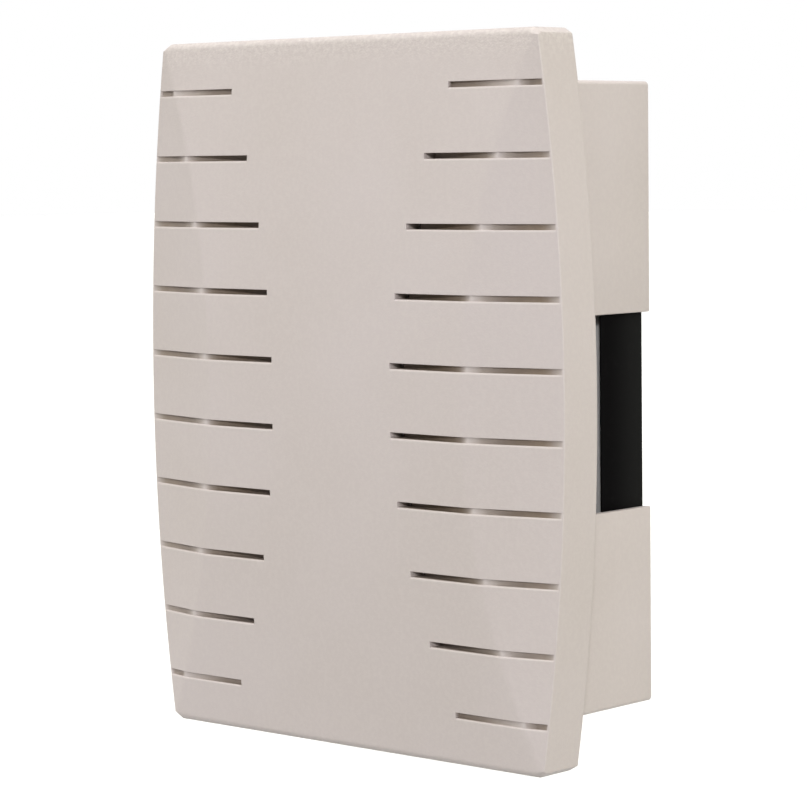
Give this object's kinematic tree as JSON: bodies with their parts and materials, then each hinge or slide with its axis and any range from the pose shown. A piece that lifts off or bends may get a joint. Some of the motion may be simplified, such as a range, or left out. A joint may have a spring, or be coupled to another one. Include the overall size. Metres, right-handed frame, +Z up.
{
  "type": "door chime",
  "caption": "Wall-mounted wired door chime: a slotted bowed cover pulls off a tray that carries metal tone bars, sprung solenoid plungers that strike them, and screw terminals.",
  "frame": {"origin": "on the wall plane, at the middle of the wall-screw pattern, which is also the middle of the front plate", "axes": "+Z up, +Y into the wall, so the front faces -Y, and +X to the right as seen from the front"},
  "size_m": [0.1492, 0.0632, 0.19],
  "materials": {
    "cover_plastic": "finely grained almond moulding",
    "tray_plastic": "smooth black moulding",
    "bar_metal": "plated and lightly brushed",
    "grommet_rubber": "matt black",
    "plated_screw": "zinc plated",
    "yoke_steel": "zinc plated strip",
    "bobbin_nylon": "natural nylon",
    "coil_copper": "enamelled copper windings",
    "plunger_steel": "ground",
    "tip_nylon": "natural nylon",
    "spring_steel": "bright drawn wire",
    "clip_steel": "dark phosphate",
    "bumper_felt": "pressed felt",
    "block_plastic": "cream moulding",
    "terminal_brass": "bright",
    "red_insulation": "smooth sleeve",
    "white_insulation": "smooth sleeve"
  },
  "bodies": {
    "base": {"base_tray": "tray_plastic", "left_tone_bar": "bar_metal", "right_tone_bar": "bar_metal", "tone_bar_grommets": "grommet_rubber", "tone_bar_screws": "plated_screw", "front_yoke": "yoke_steel", "front_bobbin": "bobbin_nylon", "front_coil": "coil_copper", "front_spring": "spring_steel", "rear_yoke": "yoke_steel", "rear_bobbin": "bobbin_nylon", "rear_coil": "coil_copper", "rear_spring": "spring_steel", "rear_bumper": "bumper_felt", "yoke_screws": "plated_screw", "terminal_block": "block_plastic", "terminal_plates": "terminal_brass", "terminal_screws": "terminal_brass", "front_coil_leads": "red_insulation", "rear_coil_leads": "white_insulation"},
    "cover_body": {"cover": "cover_plastic"},
    "front_striker": {"front_plunger": "plunger_steel", "front_left_tip": "tip_nylon", "front_right_tip": "tip_nylon", "front_spring_clip": "clip_steel"},
    "rear_striker": {"rear_plunger": "plunger_steel", "rear_left_tip": "tip_nylon", "rear_right_tip": "tip_nylon", "rear_spring_clip": "clip_steel"}
  },
  "joints": [
    {"name": "cover_pull", "type": "slide", "parent": "base", "child": "cover_body", "axis": [0, -1, 0], "range_m": [0, 0.07]},
    {"name": "front_strike", "type": "slide", "parent": "base", "child": "front_striker", "axis": [1, 0, 0], "range_m": [-0.0027, 0.009], "stiffness_N_per_m": 60, "deforming": ["front_spring"]},
    {"name": "rear_strike", "type": "slide", "parent": "base", "child": "rear_striker", "axis": [1, 0, 0], "range_m": [0, 0.009], "stiffness_N_per_m": 60, "springref_m": -0.002, "deforming": ["rear_spring"]}
  ]
}
